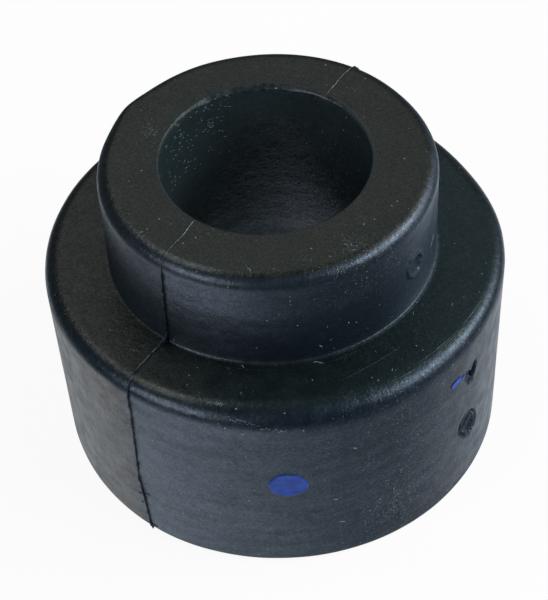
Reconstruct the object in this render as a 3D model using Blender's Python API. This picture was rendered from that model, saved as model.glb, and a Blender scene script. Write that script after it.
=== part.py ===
"""Control arm bushing: one moulded piece of black rubber, stepped outside and bored right through.

It stands on its wide end. The origin is the centre of that end's flat face, and +Z runs along
the bore towards the collar. All sizes are in metres and all angles in degrees.
"""

import math

import bmesh
import bpy
from mathutils import Matrix, Vector

# Barrel, the wide end
BARREL_DIAMETER = 0.0750
BARREL_HEIGHT = 0.0377
BARREL_DRAFT = 0.0007
BARREL_EDGE_RADIUS = 0.0026
BASE_EDGE_RADIUS = 0.0015

# Collar, the narrow end that passes through the arm's bracket
COLLAR_DIAMETER = 0.0537
COLLAR_HEIGHT = 0.0182
COLLAR_DRAFT = 0.0001
COLLAR_EDGE_RADIUS = 0.0023
FOOT_BEAD_RADIUS = 0.0003

# Bore for the sleeve
BORE_DIAMETER = 0.0336
MOUTH_CHAMFER = 0.0008

# Flash left where the two halves of the mould met, on both sides of the axis
PARTING_ANGLE = 50.6
FLASH_HEIGHT = 0.0005
FLASH_THICKNESS = 0.0004
FLASH_ROOT = 0.0015
FLASH_WEB_RADIUS = 0.0012
FLASH_CLEAR_OF_BASE = 0.0003

# Gate scars, one above another on the side away from the flash
SCAR_ANGLE = -36.3
SCAR_DEPTH = 0.0006
STUB_CLEARANCE = 0.0005
STUB_DROP = 0.00015
COLLAR_SCAR_WIDTH = 0.0031
COLLAR_SCAR_LENGTH = 0.0059
COLLAR_SCAR_ABOVE_SHOULDER = 0.0083
TORN_SCAR_WIDTH = 0.0030
TORN_SCAR_LENGTH = 0.0048
TORN_SCAR_BELOW_SHOULDER = 0.0096
ROUND_SCAR_DIAMETER = 0.0042
ROUND_SCAR_ABOVE_BASE = 0.0150

# Dab of marking paint on the front of the barrel
DAB_ANGLE = -90.0
DAB_WIDTH = 0.0064
DAB_LENGTH = 0.0060
DAB_ABOVE_BASE = 0.0209
DAB_THICKNESS = 0.00015

# Fineness of the round forms
TURN_STEPS = 128
EDGE_STEPS = 7
SMALL_ARC_STEPS = 3
OUTLINE_STEPS = 28

# Smallest flat left beside a rounded edge, and how far hidden ends reach past a surface
LEAST_FLAT = 0.0005
OVERLAP = 0.0010
SMOOTH_ANGLE = 28

RUBBER = {"color": (0.030, 0.032, 0.035), "roughness": 0.55, "metallic": 0.0}
PAINT = {"color": (0.035, 0.075, 0.42), "roughness": 0.45, "metallic": 0.0}

bore_radius = BORE_DIAMETER / 2
mouth_radius = bore_radius + MOUTH_CHAMFER
shoulder_z = BARREL_HEIGHT
top_z = BARREL_HEIGHT + COLLAR_HEIGHT
barrel_radius = BARREL_DIAMETER / 2
base_radius = barrel_radius - BARREL_DRAFT
collar_radius = COLLAR_DIAMETER / 2
foot_radius = collar_radius - COLLAR_DRAFT

# A rounded edge never eats more than the wall beside it
collar_edge = min(COLLAR_EDGE_RADIUS, collar_radius - mouth_radius - LEAST_FLAT)
shoulder_width = barrel_radius - foot_radius - FOOT_BEAD_RADIUS
barrel_edge = min(BARREL_EDGE_RADIUS, shoulder_width - LEAST_FLAT)


def clear_scene():
    """Removes what the scene holds, so the script can be run again."""
    for item in list(bpy.data.objects):
        bpy.data.objects.remove(item, do_unlink=True)


def make_material(name, finish):
    """A Principled material of one colour."""
    material = bpy.data.materials.new(name)
    material.use_nodes = True
    shader = material.node_tree.nodes["Principled BSDF"]
    shader.inputs["Base Color"].default_value = (*finish["color"], 1.0)
    shader.inputs["Roughness"].default_value = finish["roughness"]
    shader.inputs["Metallic"].default_value = finish["metallic"]
    material.diffuse_color = (*finish["color"], 1.0)
    return material


def add_object(name, mesh_data, material):
    """Turns a bmesh into an object whose faces point outwards."""
    bmesh.ops.recalc_face_normals(mesh_data, faces=mesh_data.faces)
    mesh = bpy.data.meshes.new(name)
    mesh_data.to_mesh(mesh)
    mesh_data.free()
    mesh.materials.append(material)
    item = bpy.data.objects.new(name, mesh)
    bpy.context.scene.collection.objects.link(item)
    return item


def arc(centre_r, centre_z, radius, start, end, steps):
    """Points (radius, height) along an arc of a turned profile, both ends included."""
    angles = [math.radians(start + (end - start) * i / steps) for i in range(steps + 1)]
    return [(centre_r + radius * math.cos(a), centre_z + radius * math.sin(a)) for a in angles]


def collar_wall_radius(height):
    """Radius of the collar's tapered wall at a height above the base."""
    share = (height - shoulder_z) / (top_z - collar_edge - shoulder_z)
    return foot_radius + COLLAR_DRAFT * share


def barrel_wall_radius(height):
    """Radius of the barrel's tapered wall at a height above the base."""
    share = (height - BASE_EDGE_RADIUS) / (shoulder_z - barrel_edge - BASE_EDGE_RADIUS)
    return base_radius + BARREL_DRAFT * share


def turned_profile():
    """The closed section of the rubber, from the bore's upper mouth outwards and back up the bore."""
    points = [(mouth_radius, top_z)]
    points += arc(collar_radius - collar_edge, top_z - collar_edge, collar_edge, 90, 0, EDGE_STEPS)
    points += arc(foot_radius, shoulder_z, FOOT_BEAD_RADIUS, 90, 0, SMALL_ARC_STEPS)
    points += arc(barrel_radius - barrel_edge, shoulder_z - barrel_edge, barrel_edge, 90, 0, EDGE_STEPS)
    points += arc(base_radius - BASE_EDGE_RADIUS, BASE_EDGE_RADIUS, BASE_EDGE_RADIUS, 0, -90, SMALL_ARC_STEPS)
    points += [(mouth_radius, 0.0), (bore_radius, MOUTH_CHAMFER), (bore_radius, top_z - MOUTH_CHAMFER)]
    return points


def make_body(material):
    """The bush itself: the section turned once round the bore's axis."""
    mesh_data = bmesh.new()
    verts = [mesh_data.verts.new((r, 0.0, z)) for r, z in turned_profile()]
    edges = [mesh_data.edges.new((a, b)) for a, b in zip(verts, verts[1:] + verts[:1])]
    bmesh.ops.spin(
        mesh_data,
        geom=verts + edges,
        cent=(0, 0, 0),
        axis=(0, 0, 1),
        angle=math.tau,
        steps=TURN_STEPS,
        use_merge=True,
    )
    return add_object("rubber_bushing", mesh_data, material)


def flash_outline():
    """The flash fin in its own plane: its free edge down the outside, then its root back up inside the rubber."""
    rise = FLASH_HEIGHT
    web = FLASH_WEB_RADIUS
    points = [(mouth_radius, top_z + rise)]
    points += arc(collar_radius - collar_edge, top_z - collar_edge, collar_edge + rise, 90, 0, EDGE_STEPS)
    points += arc(foot_radius + rise + web, shoulder_z + rise + web, web, 180, 270, SMALL_ARC_STEPS)
    points += arc(barrel_radius - barrel_edge, shoulder_z - barrel_edge, barrel_edge + rise, 90, 0, EDGE_STEPS)
    points += [(base_radius + rise, BASE_EDGE_RADIUS), (base_radius + rise, FLASH_CLEAR_OF_BASE)]
    points += [
        (base_radius - FLASH_ROOT, FLASH_CLEAR_OF_BASE),
        (base_radius - FLASH_ROOT, shoulder_z - barrel_edge),
        (foot_radius - FLASH_ROOT, shoulder_z - barrel_edge),
        (foot_radius - FLASH_ROOT, top_z - collar_edge),
        (mouth_radius, top_z - FLASH_ROOT),
    ]
    return points


def make_flash(name, angle, material):
    """One fin of flash, standing in the plane through the axis at this angle."""
    mesh_data = bmesh.new()
    half = FLASH_THICKNESS / 2
    verts = [mesh_data.verts.new((r, -half, z)) for r, z in flash_outline()]
    face = mesh_data.faces.new(verts)
    moved = bmesh.ops.extrude_face_region(mesh_data, geom=[face])["geom"]
    raised = [item for item in moved if isinstance(item, bmesh.types.BMVert)]
    bmesh.ops.translate(mesh_data, vec=(0, FLASH_THICKNESS, 0), verts=raised)
    turn = Matrix.Rotation(math.radians(angle), 4, "Z")
    bmesh.ops.transform(mesh_data, matrix=turn, verts=mesh_data.verts)
    return add_object(name, mesh_data, material)


def oval(width, length, ripple=0.0):
    """Points (across, up) of an oval. Ripple makes its edge ragged, as a share of its size."""
    points = []
    for i in range(OUTLINE_STEPS):
        t = math.tau * i / OUTLINE_STEPS
        swell = 1 + ripple * (0.6 * math.cos(3 * t + 0.7) + 0.4 * math.sin(5 * t))
        points.append((width / 2 * swell * math.cos(t), length / 2 * swell * math.sin(t)))
    return points


def make_radial_plug(name, outline, height, inner, outer, material):
    """A straight plug of this outline along the radius through the scars, between two radii."""
    mesh_data = bmesh.new()
    verts = [mesh_data.verts.new((x, y, 0.0)) for x, y in outline]
    face = mesh_data.faces.new(verts)
    moved = bmesh.ops.extrude_face_region(mesh_data, geom=[face])["geom"]
    raised = [item for item in moved if isinstance(item, bmesh.types.BMVert)]
    bmesh.ops.translate(mesh_data, vec=(0, 0, outer - inner), verts=raised)
    a = math.radians(SCAR_ANGLE)
    out = Vector((math.cos(a), math.sin(a), 0))
    across = Vector((-math.sin(a), math.cos(a), 0))
    up = Vector((0, 0, 1))
    placed = Matrix((across, up, out)).transposed().to_4x4()
    placed.translation = out * inner + up * height
    bmesh.ops.transform(mesh_data, matrix=placed, verts=mesh_data.verts)
    return add_object(name, mesh_data, material)


def make_dab(material):
    """The dab of paint: a thin irregular oval that follows the barrel's wall and is lowest at its edge."""
    edge = oval(DAB_WIDTH, DAB_LENGTH, ripple=0.07)
    levels = [(1.0, -OVERLAP), (1.0, DAB_THICKNESS * 0.5), (0.9, DAB_THICKNESS), (0.5, DAB_THICKNESS)]
    mesh_data = bmesh.new()

    def on_wall(x, y, lift):
        height = DAB_ABOVE_BASE + y
        radius = barrel_wall_radius(height)
        a = math.radians(DAB_ANGLE) + x / radius
        return ((radius + lift) * math.cos(a), (radius + lift) * math.sin(a), height)

    rings = [
        [mesh_data.verts.new(on_wall(x * size, y * size, lift)) for x, y in edge]
        for size, lift in levels
    ]
    for low, high in zip(rings, rings[1:]):
        for i in range(OUTLINE_STEPS):
            j = (i + 1) % OUTLINE_STEPS
            mesh_data.faces.new((low[i], low[j], high[j], high[i]))
    crown = mesh_data.verts.new(on_wall(0, 0, DAB_THICKNESS))
    inside = mesh_data.verts.new(on_wall(0, 0, -OVERLAP))
    for ring, centre in ((rings[-1], crown), (rings[0], inside)):
        for i in range(OUTLINE_STEPS):
            mesh_data.faces.new((ring[i], ring[(i + 1) % OUTLINE_STEPS], centre))
    return add_object("paint_dab_guide", mesh_data, material)


def as_guide(items, collection_name):
    """Hides shapes that only cut or add to the bush, and gathers them for one Boolean."""
    collection = bpy.data.collections.new(collection_name)
    bpy.context.scene.collection.children.link(collection)
    for item in items:
        item.hide_render = True
        item.display_type = "WIRE"
        collection.objects.link(item)
        bpy.context.scene.collection.objects.unlink(item)
    return collection


def add_boolean(item, name, operation, collection):
    """Cuts the shapes of a collection from the item, or joins them to it."""
    modifier = item.modifiers.new(name, "BOOLEAN")
    modifier.operation = operation
    modifier.operand_type = "COLLECTION"
    modifier.collection = collection
    modifier.solver = "EXACT"
    modifier.material_mode = "TRANSFER"


def scar_plugs(name, height, wall, width, length, ripple, material):
    """The pit of one gate scar and the torn stub that stands in it, as two plugs."""
    floor = wall - SCAR_DEPTH
    pit = make_radial_plug(
        name + "_pit_guide", oval(width, length, ripple), height, floor, wall + OVERLAP, material
    )
    stub_outline = oval(width - 2 * STUB_CLEARANCE, length - 2 * STUB_CLEARANCE, ripple)
    stub = make_radial_plug(
        name + "_stub_guide", stub_outline, height, floor - OVERLAP, wall - STUB_DROP, material
    )
    return pit, stub


def main():
    clear_scene()
    rubber = make_material("black_rubber", RUBBER)
    paint = make_material("blue_marking_paint", PAINT)
    body = make_body(rubber)

    collar_scar_z = shoulder_z + COLLAR_SCAR_ABOVE_SHOULDER
    torn_scar_z = shoulder_z - TORN_SCAR_BELOW_SHOULDER
    round_scar_z = ROUND_SCAR_ABOVE_BASE
    scars = [
        scar_plugs(
            "collar_scar", collar_scar_z, collar_wall_radius(collar_scar_z),
            COLLAR_SCAR_WIDTH, COLLAR_SCAR_LENGTH, 0.0, rubber,
        ),
        scar_plugs(
            "torn_scar", torn_scar_z, barrel_wall_radius(torn_scar_z),
            TORN_SCAR_WIDTH, TORN_SCAR_LENGTH, 0.2, rubber,
        ),
        scar_plugs(
            "round_scar", round_scar_z, barrel_wall_radius(round_scar_z),
            ROUND_SCAR_DIAMETER, ROUND_SCAR_DIAMETER, 0.0, rubber,
        ),
    ]
    pits = [pit for pit, stub in scars]
    raised = [stub for pit, stub in scars]
    raised.append(make_flash("front_flash_guide", PARTING_ANGLE + 180, rubber))
    raised.append(make_flash("back_flash_guide", PARTING_ANGLE, rubber))
    raised.append(make_dab(paint))

    add_boolean(body, "scar pits", "DIFFERENCE", as_guide(pits, "scar pits"))
    add_boolean(body, "raised features", "UNION", as_guide(raised, "raised features"))
    body.data.shade_smooth()
    body.data.set_sharp_from_angle(angle=math.radians(SMOOTH_ANGLE))


main()
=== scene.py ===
"""Looks of the control arm bushing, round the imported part: moulded skin, flash, scars, paint and dust."""

import math

import bpy
import numpy as np
from mathutils import Matrix, Vector, noise


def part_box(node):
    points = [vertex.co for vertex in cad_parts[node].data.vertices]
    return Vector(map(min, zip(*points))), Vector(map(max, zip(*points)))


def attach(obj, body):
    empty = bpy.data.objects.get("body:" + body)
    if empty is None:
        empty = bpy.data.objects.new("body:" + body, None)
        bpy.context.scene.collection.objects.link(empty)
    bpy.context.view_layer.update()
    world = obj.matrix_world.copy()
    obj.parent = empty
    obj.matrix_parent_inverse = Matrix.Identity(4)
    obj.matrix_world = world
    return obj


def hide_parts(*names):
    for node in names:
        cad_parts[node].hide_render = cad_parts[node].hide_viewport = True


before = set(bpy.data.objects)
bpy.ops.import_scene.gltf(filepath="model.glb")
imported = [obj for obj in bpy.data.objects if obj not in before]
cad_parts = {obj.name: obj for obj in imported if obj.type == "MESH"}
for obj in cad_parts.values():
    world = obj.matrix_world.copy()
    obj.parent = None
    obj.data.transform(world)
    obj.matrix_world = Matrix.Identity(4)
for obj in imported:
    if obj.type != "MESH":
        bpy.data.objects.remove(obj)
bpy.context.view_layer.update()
node_low, node_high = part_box("rubber_bushing")

# Sizes of the part as its CAD solid has them. Lengths are in millimetres and angles in degrees
MM = 0.001
FLASH_RISE = 0.5
BARREL_RADIUS = (node_high.x - node_low.x) / 2 / MM
TOP_Z = node_high.z / MM - FLASH_RISE
SHOULDER_Z = 37.7
BARREL_DRAFT = 0.7
BARREL_EDGE = 2.6
BASE_EDGE = 1.5
COLLAR_RADIUS = 26.85
COLLAR_DRAFT = 0.1
COLLAR_EDGE = 2.3
FILLET = 0.25
BORE_RADIUS = 16.8
MOUTH_CHAMFER = 0.8
BASE_RADIUS = BARREL_RADIUS - BARREL_DRAFT
FOOT_RADIUS = COLLAR_RADIUS - COLLAR_DRAFT
MOUTH_RADIUS = BORE_RADIUS + MOUTH_CHAMFER

# How far round the mouth its unevenness reaches, and the smallest length that counts
MOUTH_MARGIN = 1.6
LEAST = 1e-6

# How deep the roots of flecks, fibres and flash lie in the skin, and how high over the base the flash ends
FLECK_SINK = 0.05
FLASH_SINK = 0.25
FLASH_END = 0.35

# How far over the top's flat the flash's crest starts to be painted pale, as a painted highlight
CREST_RISE = 0.05

# The flash's ridge on the shoulder: its angle past the left side, less the slope for each mm from the axis.
# Left of it the flash is painted pale as a painted highlight, right of it its gloss is cut as painted shade
RIDGE_TURN = (45.62, 45.8)
RIDGE_SLOPE = 0.12

# How far the mould's upper insert and its core stood off the axis, across and away from the camera
COLLAR_SHIFT = (-0.28, 0.24)
BORE_SHIFT = (-0.55, 0.5)

# Steps of the meshes, in millimetres or degrees, and the rows on a rounded edge
WALL_STEP = 0.8
SCAR_WALL_STEP = 0.25
FLAT_STEP = 0.5
COLUMN_STEP = 1.25
SCAR_COLUMN_STEP = 0.2
FLASH_STEP = 0.16
EDGE_ROWS = 14

# Where a rounded edge is rounder or sharper: the middle, the spread and the extra radius of each place
BARREL_EDGE_HUMPS = [(-78, 30, 1.3), (25, 17, 1.3)]
COLLAR_EDGE_HUMPS = [(90, 30, 0.45), (30, 22, 0.5), (147, 8, -0.95)]
BASE_EDGE_HUMPS = [(-160, 32, 1.5), (-100, 30, 0.45)]

# Where the bore's upper mouth is worn back: the middle, the spread and the depth of each place
MOUTH_NICKS = [(121, 4, 0.3), (73, 4, 0.2), (42, 6, 0.15), (52, 3, 0.15)]

# The gate scars: where the mesh is finer for them, and the angle and height at the middle of each
SCAR_ANGLE = -36.5
SCAR_SPAN = 6.5
COLLAR_SCAR = (-35.3, 46.0)
TORN_SCAR = (-35.3, 28.3)
TORN_EDGE = (-37.6, 27.6)
ROUND_SCAR = (-36.4, 15.1)
ROUND_PLATE = (-35.8, 14.9)
COLLAR_SCAR_BAND = (49.5, 42.5)
BARREL_SCAR_BAND = (33.0, 10.5)

# The dab of paint and the smears by the torn scar: angle, height, size and thickness of each
DAB = (-90.0, 21.5, 1.0, 0.16)
SMEARS = [(-43.2, 29.7, 1.12, 0.12), (-40.4, 29.3, 0.58, 0.08)]
DAB_OUTLINE = [
    (-3.2, 0.05), (-2.75, 1.2), (-1.85, 2.55), (-0.55, 2.95), (0.5, 2.65), (1.55, 2.5), (2.55, 1.4),
    (3.15, 0.3), (3.1, -0.95), (2.3, -1.8), (1.5, -2.4), (0.0, -2.95), (-1.1, -2.55), (-2.1, -2.25),
    (-2.7, -1.5), (-2.95, -0.7),
]
SMEAR_OUTLINE = [
    (-0.96, -0.34), (-1.04, 0.43), (-0.24, 0.54), (0.72, 0.59), (1.04, 0.16), (0.84, -0.4), (0.0, -0.52),
    (-0.48, -0.7),
]

# A dab of paint from its foot to its crown: the share of its outline and of its thickness
PAINT_LEVELS = [
    (1.0, -0.15), (1.0, 0.25), (0.975, 0.8), (0.93, 1.0), (0.86, 0.85), (0.75, 0.7), (0.55, 0.65),
    (0.3, 0.7),
]

# A ridge across its run: place across and share of the height, with its two roots at 0
RIDGE_CUTS = [(-1.0, 0.0), (-0.55, 0.45), (-0.2, 0.95), (0.2, 1.0), (0.55, 0.5), (1.0, 0.0)]

# Camera, from the photo: its direction, distance, tilt and lens, with lengths in metres
CAMERA_ELEVATION = 46.72
CAMERA_DISTANCE = 0.33515
CAMERA_AIM = (-0.00051, 0.0, 0.02376)
CAMERA_ROLL = 3.445
CAMERA_LENS = 119.94
SENSOR = 36.0

# How glossy the walls are by angle round the axis: glossier at the front left and duller at the front right,
# a painted reflection of a floor brighter on the left and in shadow at the front right
WALL_GLOSS = [
    (-180, 0.05), (-162, 0.07), (-145, 0.38), (-131, 0.54), (-128, 0.98), (-122, 1.0), (-108, 0.88),
    (-90, 0.53), (-76, 0.26), (-62, 0.18), (-48, 0.24), (-25, 0.31), (40, 0.36), (130, 0.32), (180, 0.06),
]

# The gloss of the rounded edges
EDGE_GLOSS = 0.58

# The floor's half width, how far it lies below the base, and how near the axis each of its changes is.
# Mirrored, the floor is a painted pool of light round the bush, with a painted contact shadow at its foot
# that stops under the bore
FLOOR_REACH = 1500.0
FLOOR_DROP = 0.1
LIT_FADE = (140.0, 420.0)
MIRROR_FADE = (62.0, 160.0)
PAINTED_CONTACT_SHADOW = (36.5, 38.2)
BELOW_BORE_FADE = (28.0, 20.0)

rng = np.random.default_rng(7)


def smooth_step(low, high, value):
    """0 below low, 1 above high, with a smooth rise between."""
    t = np.clip((value - low) / (high - low), 0.0, 1.0)
    return t * t * (3 - 2 * t)


def noise_at(points, scale, seed):
    """Smooth noise from -1 to 1 at each of the points, with features of about 1 / scale."""
    flat = np.asarray(points).reshape(-1, 3) * scale + seed
    values = [noise.noise(Vector(p)) for p in flat]
    return np.array(values).reshape(np.shape(points)[:-1])


def new_object(name, data):
    """A new object in the scene."""
    item = bpy.data.objects.new(name, data)
    bpy.context.scene.collection.objects.link(item)
    return item


def new_mesh(name, verts, faces, material, hollow=None):
    """A smooth mesh with one material, from corners in mm. Hollow is 1 at corners in a scar's depth, where
    the material paints shade.
    """
    mesh = bpy.data.meshes.new(name)
    mesh.from_pydata([tuple(v) for v in np.asarray(verts) * MM], [], faces)
    if hollow is not None:
        mesh.attributes.new("hollow", "FLOAT", "POINT").data.foreach_set("value", hollow)
    mesh.validate()
    mesh.shade_smooth()
    mesh.materials.append(material)
    return new_object(name, mesh)


def arc(centre_r, centre_z, radius, start, end, steps):
    """Rows (r, z, outward normal r, outward normal z) along an arc of the section."""
    angles = np.radians(np.linspace(start, end, steps + 1))
    c, s = np.cos(angles), np.sin(angles)
    return np.stack([centre_r + radius * c, centre_z + radius * s, c, s], 1)


def line(r0, z0, r1, z1, step):
    """Rows along a straight stretch of the section, without its end points."""
    length = math.hypot(r1 - r0, z1 - z0)
    count = max(2, round(length / step))
    t = np.arange(1, count)[:, None] / count
    normal = (-(z1 - z0) / length, (r1 - r0) / length)
    rows = np.hstack([r0 + (r1 - r0) * t, z0 + (z1 - z0) * t])
    return np.hstack([rows, np.tile(normal, (len(t), 1))])


def wall(r0, z0, r1, z1, band):
    """Rows down a straight wall, closer together in the band of heights that holds its gate scars."""
    high, low = band
    slope = (r1 - r0) / (z1 - z0)
    high_r, low_r = r0 + slope * (high - z0), r0 + slope * (low - z0)
    return np.vstack([
        line(r0, z0, high_r, high, WALL_STEP),
        line(high_r, high, low_r, low, SCAR_WALL_STEP),
        line(low_r, low, r1, z1, WALL_STEP),
    ])


def hollow_arc(centre_r, centre_z, radius, start, end, steps):
    """Rows along an arc of the section whose outward side is its hollow side."""
    rows = arc(centre_r, centre_z, radius, start, end, steps)
    rows[:, 2:] *= -1
    return rows


def outer_section():
    """Rows of the section from the bore's upper mouth outwards and down to the base."""
    top_flat = COLLAR_RADIUS - COLLAR_EDGE
    collar_low = TOP_Z - COLLAR_EDGE
    barrel_flat = BARREL_RADIUS - BARREL_EDGE
    barrel_low = SHOULDER_Z - BARREL_EDGE
    parts = [
        line(MOUTH_RADIUS, TOP_Z, MOUTH_RADIUS + 0.3, TOP_Z, 0.1),
        line(MOUTH_RADIUS + 0.3, TOP_Z, top_flat, TOP_Z, FLAT_STEP),
        arc(top_flat, collar_low, COLLAR_EDGE, 90, 0, EDGE_ROWS),
        wall(COLLAR_RADIUS, collar_low, FOOT_RADIUS, SHOULDER_Z + FILLET, COLLAR_SCAR_BAND),
        hollow_arc(FOOT_RADIUS + FILLET, SHOULDER_Z + FILLET, FILLET, 180, 270, 6),
        line(FOOT_RADIUS + FILLET, SHOULDER_Z, barrel_flat, SHOULDER_Z, FLAT_STEP),
        arc(barrel_flat, barrel_low, BARREL_EDGE, 90, 0, EDGE_ROWS),
        wall(BARREL_RADIUS, barrel_low, BASE_RADIUS, BASE_EDGE, BARREL_SCAR_BAND),
        arc(BASE_RADIUS - BASE_EDGE, BASE_EDGE, BASE_EDGE, 0, -90, 6),
    ]
    return np.vstack(parts)


def closed_section():
    """The whole closed section: the outside, the base, the bore and its two chamfers."""
    parts = [
        outer_section(),
        line(BASE_RADIUS - BASE_EDGE, 0, MOUTH_RADIUS, 0, 2.4),
        arc(MOUTH_RADIUS, MOUTH_CHAMFER, MOUTH_CHAMFER, -90, -180, 3),
        line(BORE_RADIUS, MOUTH_CHAMFER, BORE_RADIUS, TOP_Z - MOUTH_CHAMFER, 1.5),
        np.array([
            [BORE_RADIUS, TOP_Z - MOUTH_CHAMFER - 0.05, -0.92, 0.38],
            [BORE_RADIUS + 0.08, TOP_Z - MOUTH_CHAMFER + 0.12, -0.72, 0.69],
            [MOUTH_RADIUS - 0.4, TOP_Z - 0.35, -0.68, 0.73],
            [MOUTH_RADIUS - 0.15, TOP_Z - 0.1, -0.6, 0.8],
            [MOUTH_RADIUS, TOP_Z, -0.3, 0.95],
        ]),
    ]
    return np.vstack(parts)


def body_angles():
    """Angles of the columns of the body's mesh, closer together at the gate scars."""
    wide = np.arange(SCAR_ANGLE + SCAR_SPAN, SCAR_ANGLE + 360 - SCAR_SPAN, COLUMN_STEP)
    close = np.arange(SCAR_ANGLE - SCAR_SPAN, SCAR_ANGLE + SCAR_SPAN, SCAR_COLUMN_STEP)
    return np.radians(np.concatenate([close, wide]))


def oval_distance(angle, height, at, across, up, radius, lean):
    """How far out of an oval on a wall a place is: 0 at its centre, 1 on its edge."""
    s = np.radians(np.degrees(angle) - at[0]) * radius
    t = height - at[1]
    c, d = math.cos(math.radians(lean)), math.sin(math.radians(lean))
    u = (s * c + t * d) / across
    v = (-s * d + t * c) / up
    return np.hypot(u, v)


def bump_at(value, centre, width):
    """A smooth hump of height 1 where value is near centre."""
    return np.exp(-((value - centre) / width) ** 2)


def scar_lift(angle, r, z):
    """How far the three gate scars raise or sink the skin."""
    rough = noise_at(np.stack([r * np.cos(angle), r * np.sin(angle), z], -1), 1.6, 3.0)
    on_collar = (z > SHOULDER_Z + 2) & (z < TOP_Z - COLLAR_EDGE) & (r > MOUTH_RADIUS)
    on_barrel = (z < SHOULDER_Z - BARREL_EDGE) & (z > BASE_EDGE) & (r > MOUTH_RADIUS)

    s = np.radians(np.degrees(angle) - COLLAR_SCAR[0] - 0.4) * COLLAR_RADIUS
    far = oval_distance(angle, z, COLLAR_SCAR, 2.0, 2.5, COLLAR_RADIUS, 35) + 0.14 * rough
    collar = 0.3 * bump_at(far, 1.0, 0.15) - 0.45 * smooth_step(0.9, 0.45, far) * smooth_step(-0.9, 0.6, s)
    lift = np.where(on_collar, collar, 0.0)

    far = oval_distance(angle, z, TORN_SCAR, 0.8, 1.85, BARREL_RADIUS, -15) + 0.15 * rough
    torn = -1.1 * smooth_step(1.1, 0.7, far)
    frayed = oval_distance(angle, z, TORN_EDGE, 1.1, 2.2, BARREL_RADIUS, 28) + 0.3 * rough
    torn -= 0.35 * smooth_step(1.1, 0.8, frayed) * (1 + 0.8 * rough)

    far = oval_distance(angle, z, ROUND_SCAR, 2.6, 3.6, BARREL_RADIUS, 31)
    inner = oval_distance(angle, z, ROUND_PLATE, 1.95, 3.1, BARREL_RADIUS, 31)
    ring = smooth_step(1.05, 0.95, far) * smooth_step(0.92, 1.1, inner)
    s = np.radians(np.degrees(angle) - ROUND_PLATE[0] + 0.2) * BARREL_RADIUS
    t = z - ROUND_PLATE[1]
    tilt = smooth_step(-0.6, 1.8, 0.4 * s - t) * smooth_step(1.0, 0.9, far)
    within = smooth_step(1.0, 0.8, inner)
    ridge = 0.3 * bump_at(0.8 * s - t, -0.7, 0.22)
    round_scar = -0.55 * ring - 0.1 * tilt + (ridge - 0.46) * within
    brink = smooth_step(SCAR_ANGLE, SCAR_ANGLE - 2.5, np.degrees(angle))
    round_scar += 0.3 * bump_at(far, 0.82, 0.05) * brink
    lift += np.where(on_barrel, torn + round_scar, 0.0)
    return lift


def edge_at(angle, radius, humps):
    """The radius of a rounded edge at each angle."""
    for middle, spread, extra in humps:
        off = (np.degrees(angle) - middle + 180) % 360 - 180
        radius = radius + extra * bump_at(off, 0, spread)
    return radius


def mouth_chamfer_at(angle):
    """The size of the bore's upper chamfer at each angle: wide at the back, narrow on the left."""
    a = np.degrees(angle) % 360
    spots = np.stack([np.cos(angle) * 9, np.sin(angle) * 9, np.zeros_like(angle)], -1)
    size = 0.34 + 0.42 * bump_at(a, 100, 40) + 0.12 * bump_at(a, 270, 50) - 0.2 * bump_at(a, 160, 38)
    size = size + 0.06 * noise_at(spots, 1.0, 21.0) + 0.05 * noise_at(spots, 3.0, 23.0)
    for middle, spread, depth in MOUTH_NICKS:
        size = size + depth * bump_at(a, middle, spread)
    return size


def with_uneven_mouth(angle, r, z):
    """The section's rows moved so that the bore's upper chamfer has its own size at each angle."""
    size = mouth_chamfer_at(angle)
    high = z > TOP_Z - MOUTH_CHAMFER - 0.1
    chamfered = high & (r < MOUTH_RADIUS + 0.01)
    beside = high & (r >= MOUTH_RADIUS + 0.01)
    new_r = np.where(chamfered, BORE_RADIUS + (r - BORE_RADIUS) * size / MOUTH_CHAMFER, r)
    new_z = np.where(chamfered, TOP_Z - (TOP_Z - z) * size / MOUTH_CHAMFER, z)
    moved = (size - MOUTH_CHAMFER) * smooth_step(MOUTH_RADIUS + MOUTH_MARGIN, MOUTH_RADIUS, r)
    return np.where(beside, r + moved, new_r), new_z


def with_uneven_edge(row, normal, step, edge, least):
    """One step's rows moved so that its upper edge has its own radius at each angle.

    The step is the outer radius, the top's height, the drawn edge radius, the flat's inner radius and the
    wall's lowest height. Least is what that lowest height becomes.
    """
    r, z = row
    radius, top, drawn, inner, foot = step
    low, flat = top - drawn, radius - drawn
    outer = (r > inner) & (r <= radius + LEAST)
    on_edge = outer & (z > low - LEAST) & (z <= top + LEAST) & (r > flat - LEAST)
    on_wall = outer & (z <= low - LEAST) & (z > foot + LEAST)
    on_flat = outer & (r <= flat - LEAST) & (np.abs(z - top) < LEAST)
    new_r = np.where(on_edge, radius - edge + edge * normal[0], r)
    new_z = np.where(on_edge, top - edge + edge * normal[1], z)
    new_z = np.where(on_wall, least + (z - foot) * (top - edge - least) / (low - foot), new_z)
    new_r = np.where(on_flat, inner + (r - inner) * (radius - edge - inner) / (flat - inner), new_r)
    return new_r, new_z


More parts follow.
